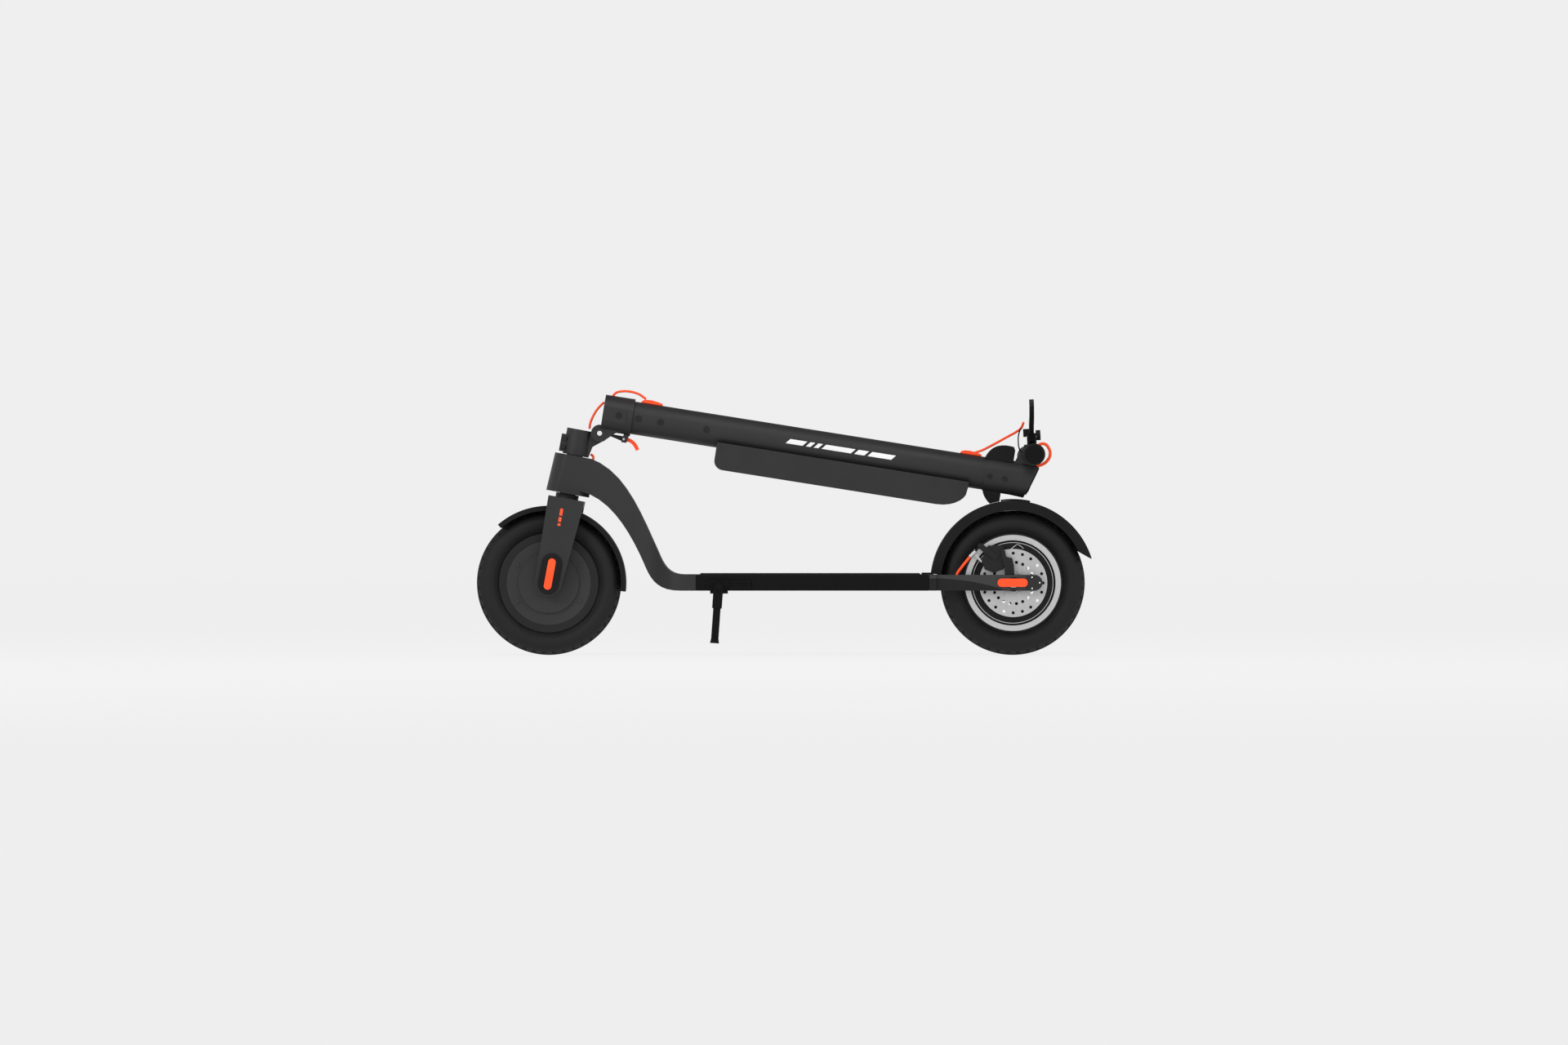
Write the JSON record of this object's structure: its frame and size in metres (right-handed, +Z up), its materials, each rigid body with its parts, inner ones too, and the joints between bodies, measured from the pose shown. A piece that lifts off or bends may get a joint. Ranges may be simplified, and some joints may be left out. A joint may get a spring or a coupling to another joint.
{
  "type": "electric kick scooter",
  "caption": "Folding electric kick scooter with hub motor, stem battery, rear disc brake, mudguards and kickstand, shown folded.",
  "frame": {"origin": "bottom centre of the folded scooter, on the ground between the wheels", "axes": "-X toward the front wheel, -Y toward the rider's left, +Z up"},
  "size_m": [1.083, 0.43, 0.4674],
  "materials": {
    "rubber_tyre": "matte",
    "black_paint": "satin",
    "motor_black": "satin",
    "deck_black": "satin",
    "black_plastic": "matte",
    "battery_plastic": "satin",
    "orange": "satin",
    "grip_rubber": "matte",
    "bright_metal": "machined",
    "steel": "brushed",
    "brake_black": "satin",
    "copper": "wound",
    "cell_wrap": "gloss",
    "screen": "gloss",
    "lens_clear": "gloss",
    "button_silver": "satin"
  },
  "bodies": {
    "frame": {"neck_casting": "black_paint", "headset_bearings": "steel", "deck_shell": "deck_black", "deck_mat": "grip_rubber", "controller": "bright_metal", "rear_yoke": "black_paint", "arm_covers": "black_plastic", "rear_reflectors": "orange", "rear_axle": "steel", "rear_mudguard": "black_plastic", "guard_catch": "black_plastic", "caliper_body": "brake_black", "brake_pads": "brake_black", "caliper_bracket": "brake_black", "cable_adjuster": "steel", "kickstand_bracket": "deck_black", "steer_cable": "orange", "rear_cable": "orange", "cable_boot": "black_plastic", "cable_grommets": "black_plastic"},
    "front_wheel": {"front_tyre": "rubber_tyre", "motor_rim": "motor_black", "motor_covers": "motor_black"},
    "rear_wheel": {"rear_tyre": "rubber_tyre", "rear_wheel": "bright_metal", "wheel_bearings": "steel", "brake_rotor": "steel"},
    "fork": {"fork": "black_paint", "fork_covers": "black_plastic", "fork_reflectors": "orange", "front_mudguard": "black_plastic", "front_axle": "steel", "motor_stator": "copper", "head_clamp": "black_paint", "hinge_fasteners": "steel", "fold_cable": "orange"},
    "stem": {"stem_base": "black_paint", "stem_tube": "black_paint", "stem_collar": "black_paint", "lever_pins": "steel", "stem_screws": "black_plastic", "battery_case": "battery_plastic", "battery_cells": "cell_wrap", "head_casting": "black_paint", "display": "screen", "headlight_housing": "black_plastic", "headlight_lens": "lens_clear", "stem_hook": "black_plastic", "stem_grommets": "orange", "handlebar": "deck_black", "grips": "grip_rubber", "brake_perch": "black_plastic", "throttle_housing": "black_plastic", "stem_cables": "orange"},
    "latch": {"latch_lever": "orange"},
    "brake_lever": {"brake_lever": "brake_black"},
    "throttle": {"throttle_paddle": "black_plastic"},
    "power_button": {"power_button": "button_silver"},
    "kickstand": {"kickstand_leg": "deck_black"},
    "caliper_arm": {"caliper_arm": "brake_black"}
  },
  "joints": [
    {"name": "steer", "type": "hinge", "parent": "frame", "child": "fork", "pos_m": [-0.41071, 0, 0.12664], "axis": [0.1822, 0, 0.9833], "range_deg": [-60, 60], "deforming": ["steer_cable"]},
    {"name": "fold", "type": "hinge", "parent": "fork", "child": "stem", "pos_m": [-0.32481, 0, 0.39092], "axis": [0, -1, 0], "range_deg": [0, 88.5], "deforming": ["fold_cable"]},
    {"name": "front_spin", "type": "hinge", "parent": "fork", "child": "front_wheel", "pos_m": [-0.41425, 0, 0.1273], "axis": [0, 1, 0], "continuous": true},
    {"name": "rear_spin", "type": "hinge", "parent": "frame", "child": "rear_wheel", "pos_m": [0.40305, 0, 0.1273], "axis": [0, 1, 0], "continuous": true},
    {"name": "kickstand_swing", "type": "hinge", "parent": "frame", "child": "kickstand", "pos_m": [-0.11495, -0.089, 0.1211], "axis": [0, -1, 0], "range_deg": [0, 86]},
    {"name": "latch_release", "type": "hinge", "parent": "stem", "child": "latch", "pos_m": [-0.28248, 0, 0.38077], "axis": [0, -1, 0], "range_deg": [0, 10], "stiffness_Nm_per_rad": 1},
    {"name": "brake_pull", "type": "hinge", "parent": "stem", "child": "brake_lever", "pos_m": [0.4339, -0.097, 0.38326], "axis": [0.9986, 0, 0.0523], "range_deg": [0, 15], "stiffness_Nm_per_rad": 4},
    {"name": "caliper_pull", "type": "hinge", "parent": "frame", "child": "caliper_arm", "pos_m": [0.37105, -0.05, 0.1733], "axis": [0, -1, 0], "range_deg": [0, 12], "deforming": ["cable_boot"]},
    {"name": "throttle_press", "type": "hinge", "parent": "stem", "child": "throttle", "pos_m": [0.43553, 0.093, 0.3523], "axis": [0, -1, 0], "range_deg": [0, 20], "stiffness_Nm_per_rad": 0.5},
    {"name": "power_press", "type": "slide", "parent": "stem", "child": "power_button", "axis": [-0.8942, 0, 0.4478], "range_m": [0, 0.001], "stiffness_N_per_m": 600}
  ],
  "couplings": [
    {"joint": "caliper_pull", "follows": "brake_pull", "ratio": 0.8}
  ]
}
